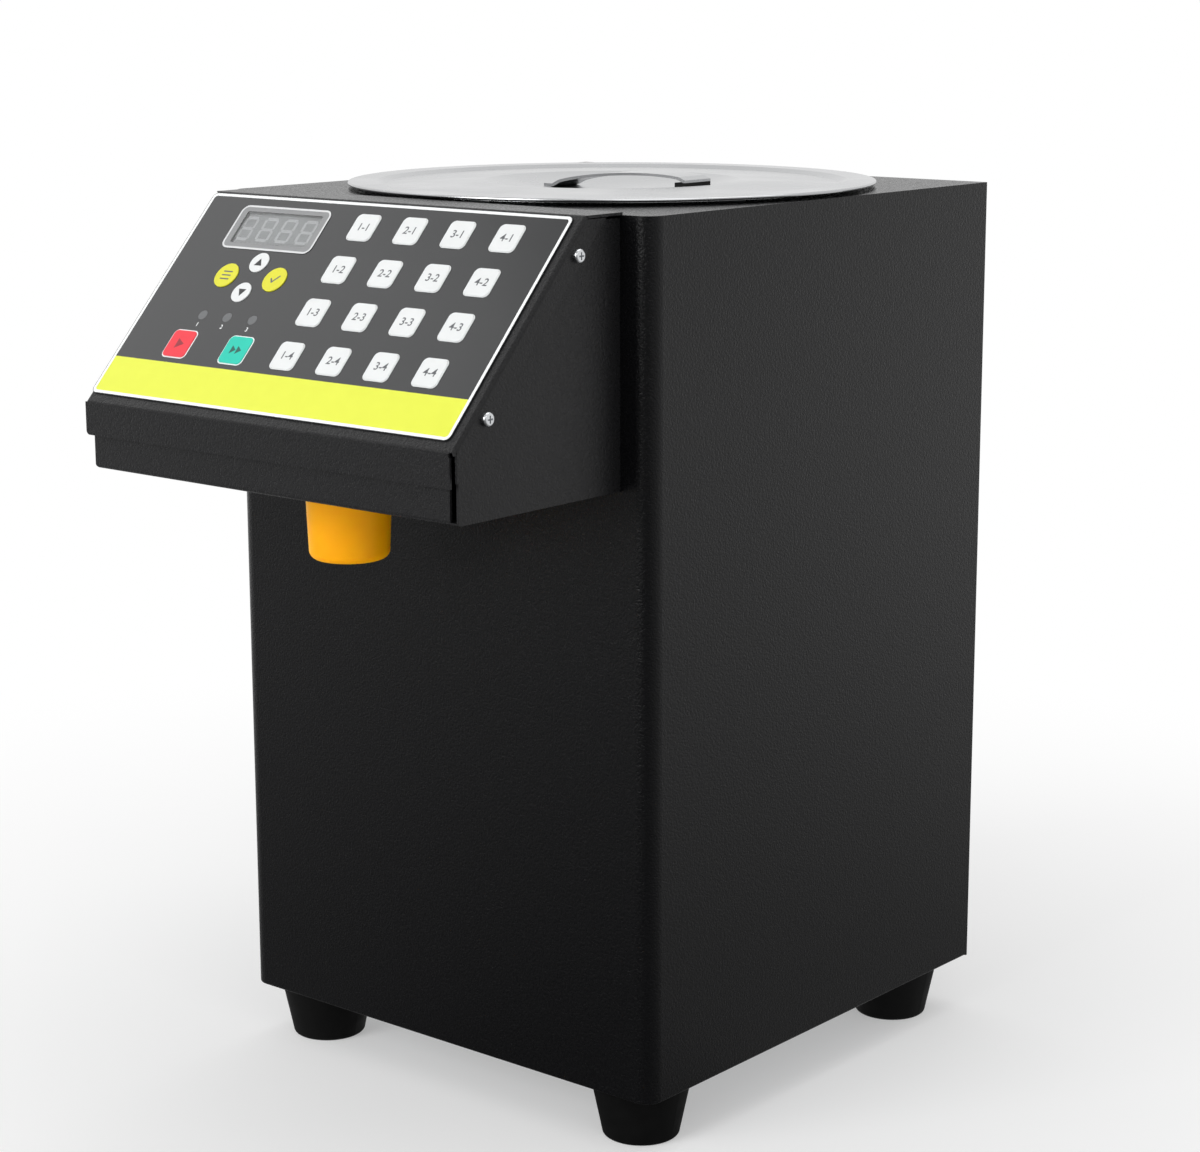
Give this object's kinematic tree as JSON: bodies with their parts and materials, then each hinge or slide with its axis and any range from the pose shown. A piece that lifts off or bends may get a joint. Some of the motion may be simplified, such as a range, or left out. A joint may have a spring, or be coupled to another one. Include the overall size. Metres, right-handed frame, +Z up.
{
  "type": "fructose dispenser",
  "caption": "Countertop syrup dispenser: black sheet-metal casing, round heated tank under a lift-off steel lid, sloped keypad head and an outlet under it.",
  "frame": {"origin": "centre of the bounding box seen from above, at the level of the table", "axes": "+Z up, -Y out of the front of the machine towards the user, +X to the right of someone who stands behind it looking out of its front, which is the right of the picture's viewer"},
  "size_m": [0.25, 0.363, 0.4207],
  "materials": {
    "black_powder_coat": "semi-gloss black powder coat with a fine orange-peel texture",
    "zinc_plate": "zinc-plated sheet steel",
    "black_rubber": "matt black rubber",
    "bright_steel": "bright plated steel",
    "panel_film": "dark grey printed film with a white border and a yellow band",
    "grey_window": "clear smoked window in a pale frame",
    "digit_face": "grey digit module, unlit",
    "lamp_plastic": "smoked lamp lens, unlit",
    "circuit_board": "green glass-fibre board with soldered parts",
    "stainless": "satin stainless steel",
    "heater_foil": "heater band with a woven face",
    "insulation": "pale mineral-fibre felt",
    "probe_steel": "turned steel",
    "stainless_fitting": "turned stainless steel",
    "silicone_hose": "milky silicone rubber",
    "pump_aluminium": "machined aluminium",
    "motor_steel": "grey painted steel can",
    "black_plastic": "black moulded plastic",
    "gear_brass": "machined brass",
    "red_plastic": "glossy red plastic",
    "orange_plastic": "translucent orange plastic",
    "white_key": "white printed key",
    "yellow_key": "yellow printed key",
    "red_key": "red printed key",
    "teal_key": "teal printed key"
  },
  "bodies": {
    "casing": {"outer_case": "black_powder_coat", "top_deck": "black_powder_coat", "base_plate": "zinc_plate", "rear_panel": "black_powder_coat", "rubber_feet": "black_rubber", "foot_bolts": "bright_steel", "head_tray": "black_powder_coat", "panel_cover": "black_powder_coat", "panel_film": "panel_film", "case_screws": "bright_steel", "display_window": "grey_window", "digit_module": "digit_face", "status_lamps": "lamp_plastic", "control_board": "circuit_board", "tank": "stainless", "heater_band": "heater_foil", "insulation_jacket": "insulation", "temperature_probe": "probe_steel", "outlet_fitting": "stainless_fitting", "suction_hose": "silicone_hose", "delivery_hose": "silicone_hose", "hose_clips": "bright_steel", "pump_body": "pump_aluminium", "pump_cover": "pump_aluminium", "pump_motor": "motor_steel", "motor_bracket": "zinc_plate", "outlet_nozzle": "stainless_fitting", "outlet_nut": "bright_steel", "power_board": "circuit_board", "mains_inlet": "black_plastic", "switch_frame": "black_plastic"},
    "lid": {"lid_shell": "stainless", "lid_strap": "stainless", "strap_pad": "black_rubber"},
    "pump_driver": {"drive_gear": "gear_brass"},
    "pump_idler": {"idler_gear": "gear_brass"},
    "rocker": {"power_rocker": "red_plastic"},
    "cap": {"nozzle_cap": "orange_plastic"},
    "key_1_1_pad": {"key_1_1": "white_key"},
    "key_2_1_pad": {"key_2_1": "white_key"},
    "key_3_1_pad": {"key_3_1": "white_key"},
    "key_4_1_pad": {"key_4_1": "white_key"},
    "key_1_2_pad": {"key_1_2": "white_key"},
    "key_2_2_pad": {"key_2_2": "white_key"},
    "key_3_2_pad": {"key_3_2": "white_key"},
    "key_4_2_pad": {"key_4_2": "white_key"},
    "key_1_3_pad": {"key_1_3": "white_key"},
    "key_2_3_pad": {"key_2_3": "white_key"},
    "key_3_3_pad": {"key_3_3": "white_key"},
    "key_4_3_pad": {"key_4_3": "white_key"},
    "key_1_4_pad": {"key_1_4": "white_key"},
    "key_2_4_pad": {"key_2_4": "white_key"},
    "key_3_4_pad": {"key_3_4": "white_key"},
    "key_4_4_pad": {"key_4_4": "white_key"},
    "key_left_round_pad": {"key_left_round": "yellow_key"},
    "key_right_round_pad": {"key_right_round": "yellow_key"},
    "key_up_pad": {"key_up": "white_key"},
    "key_down_pad": {"key_down": "white_key"},
    "key_red_pad": {"key_red": "red_key"},
    "key_teal_pad": {"key_teal": "teal_key"}
  },
  "joints": [
    {"name": "lid_lift", "type": "slide", "parent": "casing", "child": "lid", "axis": [0, 0, 1], "range_m": [0, 0.12]},
    {"name": "driver_spin", "type": "hinge", "parent": "casing", "child": "pump_driver", "pos_m": [-0.02, -0.008, 0.092], "axis": [0, 1, 0], "continuous": true},
    {"name": "idler_spin", "type": "hinge", "parent": "casing", "child": "pump_idler", "pos_m": [-0.02, -0.008, 0.068], "axis": [0, 1, 0], "continuous": true},
    {"name": "power_switch", "type": "hinge", "parent": "casing", "child": "rocker", "pos_m": [0.03, 0.1764, 0.078], "axis": [1, 0, 0], "range_deg": [0, 16]},
    {"name": "cap_pull", "type": "slide", "parent": "casing", "child": "cap", "axis": [0, 0, -1], "range_m": [0, 0.08]},
    {"name": "key_1_1_press", "type": "slide", "parent": "casing", "child": "key_1_1_pad", "axis": [0, 0.7311, -0.6823], "range_m": [0, 0.0004], "stiffness_N_per_m": 1500},
    {"name": "key_2_1_press", "type": "slide", "parent": "casing", "child": "key_2_1_pad", "axis": [0, 0.7311, -0.6823], "range_m": [0, 0.0004], "stiffness_N_per_m": 1500},
    {"name": "key_3_1_press", "type": "slide", "parent": "casing", "child": "key_3_1_pad", "axis": [0, 0.7311, -0.6823], "range_m": [0, 0.0004], "stiffness_N_per_m": 1500},
    {"name": "key_4_1_press", "type": "slide", "parent": "casing", "child": "key_4_1_pad", "axis": [0, 0.7311, -0.6823], "range_m": [0, 0.0004], "stiffness_N_per_m": 1500},
    {"name": "key_1_2_press", "type": "slide", "parent": "casing", "child": "key_1_2_pad", "axis": [0, 0.7311, -0.6823], "range_m": [0, 0.0004], "stiffness_N_per_m": 1500},
    {"name": "key_2_2_press", "type": "slide", "parent": "casing", "child": "key_2_2_pad", "axis": [0, 0.7311, -0.6823], "range_m": [0, 0.0004], "stiffness_N_per_m": 1500},
    {"name": "key_3_2_press", "type": "slide", "parent": "casing", "child": "key_3_2_pad", "axis": [0, 0.7311, -0.6823], "range_m": [0, 0.0004], "stiffness_N_per_m": 1500},
    {"name": "key_4_2_press", "type": "slide", "parent": "casing", "child": "key_4_2_pad", "axis": [0, 0.7311, -0.6823], "range_m": [0, 0.0004], "stiffness_N_per_m": 1500},
    {"name": "key_1_3_press", "type": "slide", "parent": "casing", "child": "key_1_3_pad", "axis": [0, 0.7311, -0.6823], "range_m": [0, 0.0004], "stiffness_N_per_m": 1500},
    {"name": "key_2_3_press", "type": "slide", "parent": "casing", "child": "key_2_3_pad", "axis": [0, 0.7311, -0.6823], "range_m": [0, 0.0004], "stiffness_N_per_m": 1500},
    {"name": "key_3_3_press", "type": "slide", "parent": "casing", "child": "key_3_3_pad", "axis": [0, 0.7311, -0.6823], "range_m": [0, 0.0004], "stiffness_N_per_m": 1500},
    {"name": "key_4_3_press", "type": "slide", "parent": "casing", "child": "key_4_3_pad", "axis": [0, 0.7311, -0.6823], "range_m": [0, 0.0004], "stiffness_N_per_m": 1500},
    {"name": "key_1_4_press", "type": "slide", "parent": "casing", "child": "key_1_4_pad", "axis": [0, 0.7311, -0.6823], "range_m": [0, 0.0004], "stiffness_N_per_m": 1500},
    {"name": "key_2_4_press", "type": "slide", "parent": "casing", "child": "key_2_4_pad", "axis": [0, 0.7311, -0.6823], "range_m": [0, 0.0004], "stiffness_N_per_m": 1500},
    {"name": "key_3_4_press", "type": "slide", "parent": "casing", "child": "key_3_4_pad", "axis": [0, 0.7311, -0.6823], "range_m": [0, 0.0004], "stiffness_N_per_m": 1500},
    {"name": "key_4_4_press", "type": "slide", "parent": "casing", "child": "key_4_4_pad", "axis": [0, 0.7311, -0.6823], "range_m": [0, 0.0004], "stiffness_N_per_m": 1500},
    {"name": "key_left_round_press", "type": "slide", "parent": "casing", "child": "key_left_round_pad", "axis": [0, 0.7311, -0.6823], "range_m": [0, 0.0004], "stiffness_N_per_m": 1500},
    {"name": "key_right_round_press", "type": "slide", "parent": "casing", "child": "key_right_round_pad", "axis": [0, 0.7311, -0.6823], "range_m": [0, 0.0004], "stiffness_N_per_m": 1500},
    {"name": "key_up_press", "type": "slide", "parent": "casing", "child": "key_up_pad", "axis": [0, 0.7311, -0.6823], "range_m": [0, 0.0004], "stiffness_N_per_m": 1500},
    {"name": "key_down_press", "type": "slide", "parent": "casing", "child": "key_down_pad", "axis": [0, 0.7311, -0.6823], "range_m": [0, 0.0004], "stiffness_N_per_m": 1500},
    {"name": "key_red_press", "type": "slide", "parent": "casing", "child": "key_red_pad", "axis": [0, 0.7311, -0.6823], "range_m": [0, 0.0004], "stiffness_N_per_m": 1500},
    {"name": "key_teal_press", "type": "slide", "parent": "casing", "child": "key_teal_pad", "axis": [0, 0.7311, -0.6823], "range_m": [0, 0.0004], "stiffness_N_per_m": 1500}
  ],
  "couplings": [
    {"joint": "idler_spin", "follows": "driver_spin", "ratio": -1}
  ]
}
